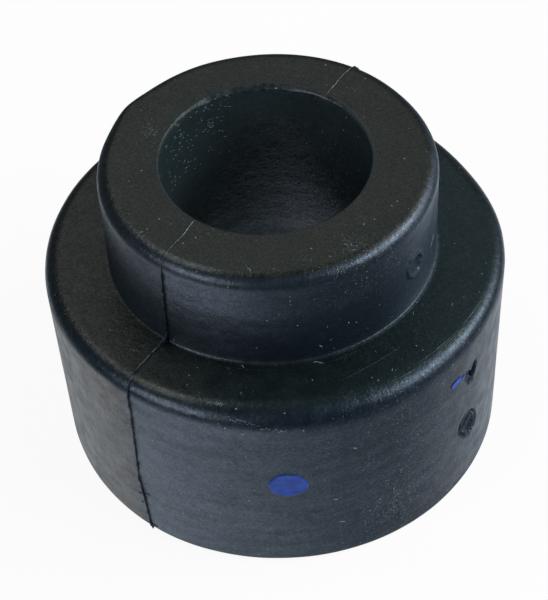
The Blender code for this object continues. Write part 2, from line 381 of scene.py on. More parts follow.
def with_uneven_edges(angle, r, z, nr, nz):
    """The section's rows moved so that the three rounded edges have their own radius at each angle."""
    base = edge_at(angle, BASE_EDGE, BASE_EDGE_HUMPS)
    barrel = edge_at(angle, BARREL_EDGE, BARREL_EDGE_HUMPS)
    collar = edge_at(angle, COLLAR_EDGE, COLLAR_EDGE_HUMPS)
    on_base = (z <= BASE_EDGE + LEAST) & (r > BASE_RADIUS - BASE_EDGE - LEAST)
    barrel_step = (BARREL_RADIUS, SHOULDER_Z, BARREL_EDGE, COLLAR_RADIUS + FILLET, BASE_EDGE)
    collar_step = (COLLAR_RADIUS, TOP_Z, COLLAR_EDGE, MOUTH_RADIUS + MOUTH_MARGIN, SHOULDER_Z + FILLET)
    new_r, new_z = with_uneven_edge((r, z), (nr, nz), barrel_step, barrel, base)
    upper = z > SHOULDER_Z + FILLET + LEAST
    raised = with_uneven_edge((r, z), (nr, nz), collar_step, collar, SHOULDER_Z + FILLET)
    new_r = np.where(upper, raised[0], new_r)
    new_z = np.where(upper, raised[1], new_z)
    new_r = np.where(on_base, BASE_RADIUS - base + base * nr, new_r)
    new_z = np.where(on_base, base + base * nz, new_z)
    return new_r, new_z


def place(angle, r, z, nr, nz, lift):
    """Places on the skin, moved out by lift, with the shifts of the mould's insert and core."""
    outer = r > (MOUTH_RADIUS + COLLAR_RADIUS) / 2
    on_insert = np.where(outer, smooth_step(SHOULDER_Z, SHOULDER_Z + FILLET, z), 1.0)
    core = smooth_step(0.0, TOP_Z, z) * smooth_step(MOUTH_RADIUS + 3.0, MOUTH_RADIUS, r)
    insert = on_insert * smooth_step(MOUTH_RADIUS, MOUTH_RADIUS + 3.0, r) * (z > SHOULDER_Z)
    r, z = with_uneven_edges(angle, r, z, nr, nz)
    r, z = with_uneven_mouth(angle, r, z)
    x = (r + lift * nr) * np.cos(angle) + COLLAR_SHIFT[0] * insert + BORE_SHIFT[0] * core
    y = (r + lift * nr) * np.sin(angle) + COLLAR_SHIFT[1] * insert + BORE_SHIFT[1] * core
    return np.stack([x, y, z + lift * nz], -1)


def make_body(material):
    """The bush as one closed skin."""
    rows = closed_section()
    angles = body_angles()
    a, row = np.meshgrid(angles, np.arange(len(rows)), indexing="ij")
    r, z, nr, nz = (rows[row, k] for k in range(4))
    at = np.stack([r * np.cos(a), r * np.sin(a), z], -1)
    lift = scar_lift(a, r, z)
    outside = (r > MOUTH_RADIUS + 1) & (z > 0.5)
    lift += np.where(outside, 0.035 * noise_at(at, 0.12, 11.0) + 0.012 * noise_at(at, 0.5, 5.0), 0.0)
    verts = place(a, r, z, nr, nz, lift).reshape(-1, 3)
    # How deep in a scar each corner lies, for the painted shade there
    hollow = smooth_step(-0.12, -0.5, scar_lift(a, r, z)).reshape(-1)
    count_a, count_r = len(angles), len(rows)
    faces = []
    for i in range(count_a):
        i2 = (i + 1) % count_a
        for j in range(count_r):
            j2 = (j + 1) % count_r
            faces.append((i * count_r + j, i * count_r + j2, i2 * count_r + j2, i2 * count_r + j))
    return new_mesh("bushing_skin", verts, faces, material, hollow)


def path_on_skin(rows, angles):
    """Places, outward normals and sideways directions along a path over the skin."""
    r, z, nr, nz = rows.T
    a = np.radians(angles)
    at = place(a, r, z, nr, nz, 0.0)
    out = np.stack([nr * np.cos(a), nr * np.sin(a), nz], -1)
    side = np.stack([-np.sin(a), np.cos(a), np.zeros_like(a)], -1)
    return at, out, side


def ring_faces(bands, around):
    """Faces between rings of corners, one ring after the other."""
    faces = []
    for low in range(0, bands * around, around):
        high = low + around
        for i in range(around):
            j = (i + 1) % around
            faces.append((low + i, high + i, high + j, low + j))
    return faces


def ridge_mesh(at, out, side, height, width, lean, sink):
    """A closed ridge along a path: height, width at the root, how far its tip leans and its root sinks."""
    rings = []
    for across, up in RIDGE_CUTS:
        rise = up * height if up else np.full_like(height, -sink)
        rings.append(at + side * (across * width / 2 + lean * up)[:, None] + out * rise[:, None])
    verts = np.stack(rings, 1)
    count, around = verts.shape[:2]
    faces = ring_faces(count - 1, around)
    faces.append(tuple(range(around)))
    faces.append(tuple(reversed(range((count - 1) * around, count * around))))
    return verts.reshape(-1, 3), faces


def joined(meshes):
    """Several sets of corners and faces as one."""
    verts, faces = [], []
    start = 0
    for more_verts, more_faces in meshes:
        verts.append(more_verts)
        faces += [tuple(index + start for index in face) for face in more_faces]
        start += len(more_verts)
    return np.vstack(verts), faces


def skin_row(zone, value):
    """The section's row at a radius on a flat face, a height on a wall or a turn from the top on an edge."""
    if zone == "top":
        return (value, TOP_Z, 0.0, 1.0)
    if zone == "shoulder":
        return (value, SHOULDER_Z, 0.0, 1.0)
    if zone == "collar":
        return (COLLAR_RADIUS - COLLAR_DRAFT / 2, value, 1.0, 0.0)
    if zone == "barrel":
        share = (value - BASE_EDGE) / (SHOULDER_Z - BARREL_EDGE - BASE_EDGE)
        return (BASE_RADIUS + BARREL_DRAFT * share, value, 1.0, 0.0)
    if zone == "bore":
        return (BORE_RADIUS, value, -1.0, 0.0)
    turned = math.radians(value)
    out, up = math.sin(turned), math.cos(turned)
    edge, centre_r, centre_z = BARREL_EDGE, BARREL_RADIUS - BARREL_EDGE, SHOULDER_Z - BARREL_EDGE
    if zone == "collar_edge":
        edge, centre_r, centre_z = COLLAR_EDGE, COLLAR_RADIUS - COLLAR_EDGE, TOP_Z - COLLAR_EDGE
    return (centre_r + edge * out, centre_z + edge * up, out, up)


def skin_frame(zone, angle, value):
    """A place on the skin with its outward normal, the direction round the axis and the one across it."""
    at, out, side = path_on_skin(np.array([skin_row(zone, value)]), np.array([angle]))
    return at[0], out[0], side[0], np.cross(side[0], out[0])


def fleck(zone, angle, value, length, width, heading, height=0.05):
    """Corners and faces of one small raised fleck. Its heading goes from round the axis upwards."""
    at, out, side, across = skin_frame(zone, angle, value)
    h = math.radians(heading)
    along = side * math.cos(h) - across * math.sin(h)
    over = np.cross(out, along)
    turns = np.radians(np.arange(0, 360, 60))
    ring = np.stack([np.cos(turns) * length / 2, np.sin(turns) * width / 2], 1)
    low = at + ring[:, :1] * along + ring[:, 1:] * over - out * FLECK_SINK
    high = at + 0.55 * ring[:, :1] * along + 0.55 * ring[:, 1:] * over + out * height
    verts = np.vstack([low, high])
    faces = [(i, (i + 1) % 6, 6 + (i + 1) % 6, 6 + i) for i in range(6)]
    faces += [tuple(range(5, -1, -1)), tuple(range(6, 12))]
    return verts, faces


def scatter(zone, count, angles, values, size):
    """Flecks strewn over a part of a zone, within a range of angles and of values, most of them small."""
    flecks = []
    for _ in range(count):
        angle = rng.uniform(*angles)
        value = rng.uniform(*values)
        length = size * rng.uniform(0.45, 1.0) ** 2
        flecks.append(fleck(zone, angle, value, length * 1.4, length, rng.uniform(0, 180), 0.25 * length))
    return flecks


def patch(zone, count, angle, value, spread, size):
    """Flecks gathered round one place."""
    flecks = []
    radius = skin_row(zone, value)[0]
    for _ in range(count):
        turn, rise = rng.normal(0, spread / 2, 2)
        length = size * rng.uniform(0.4, 1.1)
        spot = (angle + math.degrees(turn / radius), value + rise)
        flecks.append(fleck(zone, *spot, length * 1.5, length, rng.uniform(20, 70), 0.2 * length))
    return flecks


def fibre(stops, width):
    """A thin fibre that lies on the skin along stops (zone, angle, value)."""
    frames = [skin_frame(*stop) for stop in stops]
    ends = np.arange(len(stops))
    fine = np.linspace(0, len(stops) - 1, 6 * (len(stops) - 1) + 1)
    at, out = (
        np.stack([np.interp(fine, ends, [f[part][k] for f in frames]) for k in range(3)], 1)
        for part in (0, 1)
    )
    out /= np.linalg.norm(out, axis=1)[:, None]
    run = np.gradient(at, axis=0)
    side = np.cross(out, run)
    side /= np.linalg.norm(side, axis=1)[:, None]
    taper = 0.35 + 0.65 * np.sin(np.linspace(0.15, math.pi - 0.15, len(fine)))
    return ridge_mesh(at, out, side, 0.7 * width * taper, width * taper, 0.0, FLECK_SINK)


def smooth_loop(points, steps=6):
    """A smooth closed curve through the points."""
    p = np.array(points)
    before, after, later = np.roll(p, 1, 0), np.roll(p, -1, 0), np.roll(p, -2, 0)
    curve = []
    for t in np.arange(steps) / steps:
        curve.append(
            0.5 * (2 * p + (after - before) * t + (2 * before - 5 * p + 4 * after - later) * t ** 2
                   + (3 * p - before - 3 * after + later) * t ** 3)
        )
    return np.stack(curve, 1).reshape(-1, 2)


def paint_spot(outline, angle, height, size, thick):
    """Corners and faces of one spot of paint on the barrel, closed on its underside."""
    loop = smooth_loop(outline) * size
    count = len(loop)
    rings = []
    for share, lift in PAINT_LEVELS:
        flat = loop * share
        rows = np.array([skin_row("barrel", value) for value in height + flat[:, 1]])
        at, out, _ = path_on_skin(rows, angle + np.degrees(flat[:, 0] / BARREL_RADIUS))
        uneven = 1 + 0.25 * noise_at(at, 1.1, 8.0) if lift > 0 else np.ones(count)
        rings.append(at + out * (lift * thick * uneven)[:, None])
    verts = np.vstack(rings + [rings[-1].mean(0)[None], rings[0].mean(0)[None]])
    crown, underside = len(verts) - 2, len(verts) - 1
    last = (len(PAINT_LEVELS) - 1) * count
    faces = ring_faces(len(PAINT_LEVELS) - 1, count)
    for i in range(count):
        j = (i + 1) % count
        faces.append((last + i, crown, last + j))
        faces.append((i, j, underside))
    return verts, faces


def lengths_along(rows):
    """How far along the section each of its rows lies."""
    return np.concatenate([[0], np.cumsum(np.hypot(*np.diff(rows[:, :2], axis=0).T))])


def flash_rows():
    """Rows of the outside of the section for the flash: close, and turning softly at the collar's foot."""
    rows = outer_section()
    rows = rows[rows[:, 1] > FLASH_END]
    lengths = lengths_along(rows)
    even = np.arange(0, lengths[-1], FLASH_STEP)
    fine = np.stack([np.interp(even, lengths, rows[:, k]) for k in range(4)], 1)
    foot = np.hypot(fine[:, 0] - FOOT_RADIUS, fine[:, 1] - SHOULDER_Z)
    fine[foot < FILLET * 1.2, 2:] = 1.0
    window = np.ones(9) / 9
    near = foot < 2.5
    for k in (2, 3):
        fine[near, k] = np.convolve(fine[:, k], window, "same")[near]
    fine[:, 2:] /= np.linalg.norm(fine[:, 2:], axis=1)[:, None]
    return fine


def make_flash(name, turns, height_at, width_at, seed, material):
    """A fin of flash from the bore's mouth down to the base. Turns, heights and widths go by path length."""
    rows = flash_rows()
    length = lengths_along(rows)
    spots = np.stack([length, np.full_like(length, seed), np.zeros_like(length)], -1)
    ragged = noise_at(spots, 1.3, seed) + 0.8 * noise_at(spots, 2.7, seed + 4)
    height = np.interp(length, *height_at) * (1 + 0.5 * ragged)
    width = np.interp(length, *width_at) * (1 + 0.25 * noise_at(spots, 0.8, seed + 9))
    angles = np.interp(length, *turns) + 0.08 * noise_at(spots, 0.5, seed + 2)
    lean = 0.12 * noise_at(spots, 0.7, seed + 6)
    at, out, side = path_on_skin(rows, angles)
    verts, faces = ridge_mesh(at, out, side, np.maximum(height, 0.03), width, lean, FLASH_SINK)
    return new_mesh(name, verts, faces, material)


def make_camera():
    """The camera at the photo's viewing angle, leaning as the photo leans."""
    e = math.radians(CAMERA_ELEVATION)
    roll = math.radians(CAMERA_ROLL)
    forward = Vector((0, math.cos(e), -math.sin(e)))
    right = Vector((1, 0, 0))
    up = right.cross(forward)
    leaned_right = right * math.cos(roll) - up * math.sin(roll)
    leaned_up = right * math.sin(roll) + up * math.cos(roll)
    placed = Matrix((leaned_right, leaned_up, -forward)).transposed().to_4x4()
    placed.translation = Vector(CAMERA_AIM) - forward * CAMERA_DISTANCE
    data = bpy.data.cameras.new("camera")
    data.lens = CAMERA_LENS
    data.sensor_width = SENSOR
    data.clip_start = 0.01
    camera = new_object("camera", data)
    camera.matrix_world = placed
    bpy.context.scene.camera = camera


class Nodes:
    """Short ways to add and join shader nodes."""

    def __init__(self, name):
        self.material = bpy.data.materials.new(name)
        self.material.use_nodes = True
        self.tree = self.material.node_tree
        self.shader = self.tree.nodes["Principled BSDF"]
        self.place = None

    def add(self, kind, **settings):
        node = self.tree.nodes.new("ShaderNode" + kind)
        for key, value in settings.items():
            setattr(node, key, value)
        return node

    def join(self, source, socket):
        """Links an output to a socket, or sets the socket to a plain number or colour."""
        if isinstance(source, (int, float, tuple)):
            socket.default_value = source
        else:
            self.tree.links.new(source, socket)

    def look(self, name, source):
        """Sets or links one of the material's own sockets."""
        self.join(source, self.shader.inputs[name])

    def math(self, operation, first, second):
        node = self.add("Math", operation=operation)
        self.join(first, node.inputs[0])
        self.join(second, node.inputs[1])
        return node.outputs[0]

    def product(self, first, *factors):
        """All of them multiplied."""
        for factor in factors:
            first = self.math("MULTIPLY", first, factor)
        return first

    def varied(self, *factors):
        """1 more than the product of the factors."""
        return self.math("ADD", self.product(*factors), 1.0)

    def length(self, vector):
        node = self.add("VectorMath", operation="LENGTH")
        self.join(vector, node.inputs[0])
        return node.outputs["Value"]

    def position(self):
        """The place on the surface in millimetres."""
        if self.place is None:
            spot = self.add("TexCoord").outputs["Object"]
            scaled = self.add("VectorMath", operation="SCALE")
            self.join(spot, scaled.inputs[0])
            scaled.inputs["Scale"].default_value = 1 / MM
            self.place = scaled.outputs[0]
        return self.place

    def stretched(self, factors):
        """The place with each of its three measures multiplied by a factor."""
        node = self.add("VectorMath", operation="MULTIPLY")
        self.join(self.position(), node.inputs[0])
        node.inputs[1].default_value = factors
        return node.outputs[0]

    def noise(self, scale, detail=2.0, roughness=0.5, place=None):
        node = self.add("TexNoise")
        self.join(place or self.position(), node.inputs["Vector"])
        node.inputs["Scale"].default_value = scale
        node.inputs["Detail"].default_value = detail
        node.inputs["Roughness"].default_value = roughness
        return node.outputs["Fac"]

    def ramp(self, value, low, high, out_low=0.0, out_high=1.0):
        """A smooth change from out_low where the value is low to out_high where it is high."""
        node = self.add("MapRange", interpolation_type="SMOOTHSTEP")
        self.join(value, node.inputs["Value"])
        node.inputs["From Min"].default_value = low
        node.inputs["From Max"].default_value = high
        node.inputs["To Min"].default_value = out_low
        node.inputs["To Max"].default_value = out_high
        return node.outputs["Result"]

    def mix(self, factor, first, second):
        node = self.add("Mix", data_type="RGBA")
        self.join(factor, node.inputs["Factor"])
        self.join(first, node.inputs[6])
        self.join(second, node.inputs[7])
        return node.outputs[2]

    def bump(self, height, strength, distance, normal=None):
        node = self.add("Bump")
        node.inputs["Strength"].default_value = strength
        node.inputs["Distance"].default_value = distance
        self.join(height, node.inputs["Height"])
        if normal is not None:
            self.join(normal, node.inputs["Normal"])
        return node.outputs["Normal"]

    def facing(self):
        """How far the surface faces up: 1 on a flat top and 0 on a wall."""
        split = self.add("SeparateXYZ")
        self.join(self.add("NewGeometry").outputs["Normal"], split.inputs[0])
        return split.outputs["Z"]

    def specks(self, scale, size, share):
        """Scattered small dots: about this share of the cells holds one, some fainter than others."""
        cells = self.add("TexVoronoi")
        self.join(self.position(), cells.inputs["Vector"])
        cells.inputs["Scale"].default_value = scale
        split = self.add("SeparateColor")
        self.join(cells.outputs["Color"], split.inputs[0])
        dot = self.ramp(cells.outputs["Distance"], size, size * 0.5)
        here = self.math("LESS_THAN", split.outputs["Red"], share)
        return self.product(dot, self.product(here, split.outputs["Green"]))


class RubberMasks:
    """Where on the bush a place is, and masks from 0 to 1 of the parts that look different."""

    def __init__(self, n):
        split = n.add("SeparateXYZ")
        n.join(n.position(), split.inputs[0])
        x, y, z = (split.outputs[k] for k in range(3))
        radius = n.length(n.stretched((1.0, 1.0, 0.0)))
        facing = n.facing()
        turn = n.math("MULTIPLY_ADD", n.math("ARCTAN2", y, x), 0.5 / math.pi)
        turn.node.inputs[2].default_value = 0.5
        self.x, self.z, self.radius, self.facing, self.turn = x, z, radius, facing, turn
        self.up = n.ramp(facing, 0.75, 0.98)
        self.rounding = n.ramp(facing, 0.12, 0.4)
        self.walls = n.math("SUBTRACT", 1.0, self.rounding)
        self.left = n.product(
            n.ramp(x, -22.0, -27.0), n.ramp(radius, COLLAR_RADIUS + 1.15, COLLAR_RADIUS + 3.15),
            n.ramp(facing, 0.3, 0.05), n.ramp(y, 26.0, -4.0),
        )
        at_bore = n.ramp(radius, MOUTH_RADIUS + 1.0, MOUTH_RADIUS + 0.6)
        self.inside = n.product(at_bore, n.ramp(facing, 0.9, 0.6))
        self.collar = n.product(
            n.ramp(radius, COLLAR_RADIUS + 1.65, COLLAR_RADIUS + 0.65),
            n.ramp(radius, COLLAR_RADIUS - 1.85, COLLAR_RADIUS - 0.85),
        )
        self.low_right = n.product(n.ramp(z, SHOULDER_Z + 4.3, SHOULDER_Z + 2.3), n.ramp(x, -22.0, 5.0))
        self.at_mouth = n.product(
            n.ramp(radius, MOUTH_RADIUS + MOUTH_MARGIN, MOUTH_RADIUS + 0.4),
            n.ramp(z, TOP_Z - 1.3, TOP_Z - 0.9), n.ramp(facing, 0.995, 0.93), n.ramp(facing, 0.05, 0.3),
        )


def rubber_frost(n, m):
    """Pale specks on the front right, fewer of them on flat tops and low on the collar."""
    front_right = n.product(n.ramp(m.turn, 0.26, 0.34), n.ramp(m.turn, 0.47, 0.40))
    patchy = n.ramp(n.noise(0.25, 3.0, 0.6), 0.35, 0.65, 0.25, 1.0)
    off_tops = n.ramp(m.facing, 0.9, 0.98, 1.0, 0.3)
    clean = n.product(m.collar, n.ramp(m.z, TOP_Z - 5.9, TOP_Z - 9.9, 0.0, 0.9))
    return n.product(front_right, patchy, off_tops, n.math("SUBTRACT", 1.0, clean), n.specks(2.6, 0.3, 0.5))


def rubber_color(n, m, film, fine):
    """Black rubber: mottled on the left and painted much lighter there as painted light, paler at the mouth,
    under a film of dust, specks and frost.
    """
    clouds = n.ramp(n.noise(0.16, 4.0, 0.6), 0.3, 0.7)
    wall_color = n.mix(clouds, (0.002, 0.006, 0.011, 1), (0.004, 0.010, 0.017, 1))
    top_color = n.mix(clouds, (0.002, 0.004, 0.003, 1), (0.004, 0.006, 0.005, 1))
    # The left wall: its mottled grain, painted far lighter than the rest as painted light from the left lamp
    coarse = n.ramp(n.noise(0.3, 5.0, 0.65), 0.35, 0.65)
    close = n.ramp(n.noise(1.5, 4.0, 0.75), 0.3, 0.7)
    mottled = n.product(n.math("ADD", coarse, close), 0.5)
    blotched_painted_light = n.mix(mottled, (0.019, 0.017, 0.014, 1), (0.068, 0.060, 0.051, 1))
    wall_color = n.mix(m.left, wall_color, blotched_painted_light)
    collar_color = n.mix(n.ramp(m.x, 15.0, 22.0), (0.007, 0.012, 0.018, 1), (0.016, 0.025, 0.037, 1))
    wall_color = n.mix(m.collar, wall_color, collar_color)
    wall_color = n.mix(m.inside, wall_color, (0.014, 0.024, 0.027, 1))
    top_color = n.mix(m.low_right, top_color, (0.0042, 0.0080, 0.0090, 1))
    color = n.mix(m.up, wall_color, top_color)
    uneven = n.ramp(n.noise(1.2, 4.0, 0.6), 0.3, 0.7)
    # Paler at the bore's mouth, unevenly, and palest on its two sides
    paler_mouth = n.mix(uneven, (0.006, 0.010, 0.012, 1), (0.024, 0.031, 0.034, 1))
    sideways = n.math("ADD", n.ramp(m.x, 10.0, 16.0), n.ramp(m.x, -10.0, -16.0, 0.0, 0.4))
    paler_mouth = n.mix(sideways, paler_mouth, (0.050, 0.062, 0.068, 1))
    color = n.mix(m.at_mouth, color, paler_mouth)
    color = n.mix(n.product(n.ramp(film, 0.5, 0.8), 0.06), color, (0.09, 0.095, 0.095, 1))
    color = n.mix(n.product(fine, 0.8), color, (0.30, 0.32, 0.32, 1))
    return n.mix(rubber_frost(n, m), color, (0.24, 0.26, 0.27, 1))


def wall_gloss(n, turn):
    """The walls' gloss by angle round the axis, with its painted reflection."""
    gloss = n.add("ValToRGB")
    n.join(turn, gloss.inputs[0])
    stops = gloss.color_ramp.elements
    for index, (angle, level) in enumerate(WALL_GLOSS):
        stop = stops[index] if index < len(stops) else stops.new(1.0)
        stop.position = angle / 360 + 0.5
        stop.color = (level, level, level, 1)
    return gloss.outputs["Color"]


def rubber_gloss(n, m, film, brushed, streaks, grain):
    """How much the rubber mirrors in each region, with its grain, film and brushing, its painted reflection
    and painted highlight, and painted shade in the scars.
    """
    shine = n.add("Mix", data_type="FLOAT")
    n.join(m.rounding, shine.inputs["Factor"])
    n.join(wall_gloss(n, m.turn), shine.inputs[2])
    shine.inputs[3].default_value = EDGE_GLOSS
    clouded = n.math("ADD", n.ramp(streaks, 0.3, 0.7, -0.2, 0.2), n.ramp(film, 0.3, 0.7, -0.16, 0.16))
    sides = n.math("ADD", n.ramp(m.x, 3.0, -10.0, -0.32, 0.55), n.ramp(m.x, 19.0, 26.0, 0.0, 4.4))
    on_edge = n.product(m.rounding, n.ramp(m.facing, 0.999, 0.98))
    # Painted highlight: the rounded edge is glossier just right of the front flash
    painted_sheen_by_flash = n.product(n.ramp(m.turn, 0.144, 0.152), n.ramp(m.turn, 0.215, 0.18, 0.0, 0.35))
    brushed_and_painted_sheen = n.math("ADD", n.ramp(brushed, 0.25, 0.75, -0.24, 0.24), painted_sheen_by_flash)
    # Painted shade: in the depth of the scars the gloss falls to a fifth
    hollow = n.add("Attribute", attribute_name="hollow").outputs["Fac"]
    return n.product(
        shine.outputs[0],
        n.ramp(grain, 0.25, 0.75, 0.66, 1.34),
        n.varied(m.walls, clouded),
        n.varied(m.collar, m.walls, sides),
        n.varied(on_edge, brushed_and_painted_sheen),
        n.mix(m.inside, (1.0, 1.0, 1.0, 1), n.ramp(m.x, -8.0, 7.0, 0.75, 2.0)),
        n.ramp(m.at_mouth, 0.0, 1.0, 1.0, 0.45),
        n.ramp(hollow, 0.0, 1.0, 1.0, 0.2),
    )


def rubber_tint(n, m):
    """The tint of what the rubber mirrors in each region."""
    cool = n.product(n.ramp(m.x, 0.0, 24.0), n.ramp(m.z, SHOULDER_Z + 0.3, SHOULDER_Z - 1.7), m.walls)
    wall_tint = n.mix(n.ramp(m.x, -8.0, 8.0), (0.68, 0.81, 1.0, 1), (0.60, 0.78, 1.0, 1))
    wall_tint = n.mix(cool, wall_tint, (0.50, 0.65, 1.0, 1))
    wall_tint = n.mix(m.left, wall_tint, (0.95, 0.97, 1.0, 1))
    bore_tint = n.mix(n.ramp(m.x, -12.0, 8.0), (0.50, 0.74, 0.76, 1), (0.80, 0.84, 1.0, 1))
    wall_tint = n.mix(m.inside, wall_tint, bore_tint)
    right_tint = n.mix(n.ramp(m.x, 6.0, 24.0), (0.52, 0.84, 0.92, 1), (0.40, 0.66, 0.74, 1))
    top_tint = n.mix(m.low_right, (0.86, 0.95, 0.92, 1), right_tint)
    return n.mix(m.up, wall_tint, top_tint)


def rubber_relief(n, fine, brushed, streaks, grain):
    """Grain and specks, slow waves, brushing round the edges, and streaks."""
    normal = n.bump(n.math("ADD", grain, n.product(fine, 2.0)), 0.6, 0.08 * MM)
    normal = n.bump(n.noise(0.9, 4.0, 0.6), 0.5, 0.12 * MM, normal)
    normal = n.bump(brushed, 0.25, 0.06 * MM, normal)
    return n.bump(streaks, 0.15, 0.06 * MM, normal)


def flash_sides(n, m, crest):
    """Masks on the flash: its crest and its left side on the shoulder, painted pale as a painted highlight,
    and its right side there, for painted shade.
    """
    on_shoulder = n.product(
        n.ramp(m.z, SHOULDER_Z + 0.12, SHOULDER_Z + 0.22), n.ramp(m.z, SHOULDER_Z + 0.9, SHOULDER_Z + 0.6),
        n.ramp(m.radius, COLLAR_RADIUS + 2.15, COLLAR_RADIUS + 3.15),
    )
    off_ridge = n.math("SUBTRACT", n.product(m.turn, 360.0), n.product(m.radius, RIDGE_SLOPE))
    shaded = n.product(on_shoulder, n.ramp(off_ridge, *RIDGE_TURN))
    pale = n.product(on_shoulder, n.ramp(off_ridge, *reversed(RIDGE_TURN)))
    return n.math("MAXIMUM", n.ramp(m.z, crest, crest + 0.12), pale), shaded


def make_rubber(name, crest=None):
    """Moulded black rubber: half matt, with a film of dust, specks, fine grain and brushed edges.

    Above the height crest the rubber is painted pale, as a painted highlight on the flash's crest; on the
    shoulder the flash's left side is painted pale and its right side gets painted shade.
    """
    n = Nodes(name)
    m = RubberMasks(n)
    film = n.noise(0.6, 5.0, 0.65)
    fine = n.specks(1.1, 0.18, 0.1)
    round_and_up = n.add("CombineXYZ")
    n.join(n.product(m.turn, 420.0), round_and_up.inputs[0])
    n.join(n.product(m.radius, 0.5), round_and_up.inputs[1])
    n.join(n.product(m.z, 0.5), round_and_up.inputs[2])
    brushed = n.noise(1.0, 2.0, 0.6, round_and_up.outputs[0])
    streaks = n.noise(1.0, 2.0, 0.5, n.stretched((0.055, 0.055, 0.45)))
    grain = n.noise(2.4, 3.0, 0.65)
    color = rubber_color(n, m, film, fine)
    level = rubber_gloss(n, m, film, brushed, streaks, grain)
    if crest is not None:
        # Painted highlight: a patchy pale colour; painted shade: the gloss cut to a tenth
        pale, shaded = flash_sides(n, m, crest)
        color = n.mix(n.product(pale, n.ramp(n.noise(1.3), 0.3, 0.6)), color, (0.13, 0.14, 0.14, 1))
        level = n.product(level, n.ramp(shaded, 0.0, 1.0, 1.0, 0.1))
    n.look("Base Color", color)
    n.look("Specular IOR Level", level)
    n.look("Specular Tint", rubber_tint(n, m))
    n.look("Roughness", n.ramp(n.noise(0.35, 3.0), 0.3, 0.7, 0.29, 0.40))
    n.look("Normal", rubber_relief(n, fine, brushed, streaks, grain))
    return n.material


def make_dust():
    """Pale dust, lint and worn-off rubber crumbs, and the pale flecks and lines that stand for painted
    glints.
    """
    n = Nodes("pale_dust_and_painted_glints")
    shade = n.ramp(n.noise(0.9, 2.0), 0.3, 0.7)
    n.look("Base Color", n.mix(shade, (0.030, 0.042, 0.048, 1), (0.22, 0.265, 0.29, 1)))
    n.look("Roughness", 0.8)
    n.look("Normal", n.bump(n.noise(6.0), 0.4, 0.03 * MM))
    return n.material


def make_blue():
    """Blue marking paint, half matt, with thin and thick places."""
    n = Nodes("blue_marking_paint")
    shade = n.ramp(n.noise(0.7, 3.0, 0.6), 0.3, 0.7)
    n.look("Base Color", n.mix(shade, (0.004, 0.030, 0.22, 1), (0.012, 0.060, 0.35, 1)))
    n.look("Roughness", n.ramp(n.noise(1.5), 0.3, 0.7, 0.35, 0.5))
    n.look("Specular IOR Level", 0.25)
    n.look("Normal", n.bump(n.noise(2.4, 3.0), 0.5, 0.05 * MM))
    return n.material


def add_softbox(name, azimuth, elevation, distance, width, height, power):
    """A rectangular light that faces the bush from this direction, seen from the bush."""
    a, e = math.radians(azimuth), math.radians(elevation)
    out = Vector((math.cos(e) * math.cos(a), math.cos(e) * math.sin(a), math.sin(e)))
    data = bpy.data.lights.new(name, "AREA")
    data.shape = "RECTANGLE"
    data.size = width
    data.size_y = height
    data.energy = power
    lamp = new_object(name, data)
    lamp.location = Vector((0, 0, TOP_Z * MM / 2)) + out * distance
    lamp.rotation_euler = out.to_track_quat("Z", "Y").to_euler()


def make_floor():
    """A white sheet that fades to grey away from the bush, and keeps the bush's shadow. Mirrored, it is a
    painted pool of light with a painted contact shadow.
    """
    n = Nodes("white_floor")
    n.tree.nodes.remove(n.shader)
    out = n.tree.nodes["Material Output"]
    length = n.length(n.position())
    lit = n.ramp(length, *LIT_FADE, 0.85, 0.1)
    # Painted contact shadow in the floor's reflection, at the bush's foot but not under the bore
    beside = n.ramp(length, *PAINTED_CONTACT_SHADOW, 0.45, 1.0)
    below_bore = n.ramp(length, *BELOW_BORE_FADE)
    # Painted pool of light: mirrored, the floor is bright near the bush and dims farther out
    painted_pool_and_contact_shadow = n.product(n.ramp(length, *MIRROR_FADE, 1.0, 0.1), n.math("MAXIMUM", beside, below_bore))
    diffuse = n.add("BsdfDiffuse")
    n.join(lit, diffuse.inputs["Color"])
    white = n.add("Emission")
    path = n.add("LightPath")
    direct = path.outputs["Is Camera Ray"]
    seen = n.math("MAXIMUM", direct, path.outputs["Is Glossy Ray"])
    seen = n.math("MAXIMUM", seen, path.outputs["Is Transmission Ray"])
    n.join(n.math("MAXIMUM", direct, painted_pool_and_contact_shadow), white.inputs["Strength"])
    n.join(n.mix(direct, (0.84, 0.92, 1.0, 1), (1.0, 1.0, 1.0, 1)), white.inputs["Color"])
    mix = n.add("MixShader")
    n.join(n.product(seen, 0.93), mix.inputs["Fac"])
    n.join(diffuse.outputs[0], mix.inputs[1])
    n.join(white.outputs[0], mix.inputs[2])
    n.join(mix.outputs[0], out.inputs["Surface"])
    signs = ((-1, -1), (1, -1), (1, 1), (-1, 1))
    corners = [(a * FLOOR_REACH, b * FLOOR_REACH, -FLOOR_DROP) for a, b in signs]
    floor = new_mesh("floor", corners, [(0, 1, 2, 3)], n.material)


def make_world():
    """A dim studio, which the camera itself sees as white."""
    world = bpy.data.worlds.new("studio")
    bpy.context.scene.world = world
    world.use_nodes = True
    background = world.node_tree.nodes["Background"]
    background.inputs["Color"].default_value = (0.95, 0.98, 1.0, 1)
    tree = world.node_tree
    path = tree.nodes.new("ShaderNodeLightPath")
    seen = tree.nodes.new("ShaderNodeMath")
    seen.operation = "MAXIMUM"
    tree.links.new(path.outputs["Is Camera Ray"], seen.inputs[0])
    tree.links.new(path.outputs["Is Transmission Ray"], seen.inputs[1])
    strength = tree.nodes.new("ShaderNodeMapRange")
    strength.inputs["To Min"].default_value = 0.08
    tree.links.new(seen.outputs[0], strength.inputs["Value"])
    tree.links.new(strength.outputs[0], background.inputs["Strength"])


def mount(piece):
    """Hides the part's CAD mesh and ties a piece of the visual model to the part's one body."""
    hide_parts("rubber_bushing")
    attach(piece, "root")


bpy.context.scene.view_settings.view_transform = "Standard"
rubber = make_rubber("black_rubber")
flash_rubber = make_rubber("flash_rubber", TOP_Z + CREST_RISE)
dust = make_dust()
mount(make_body(rubber))

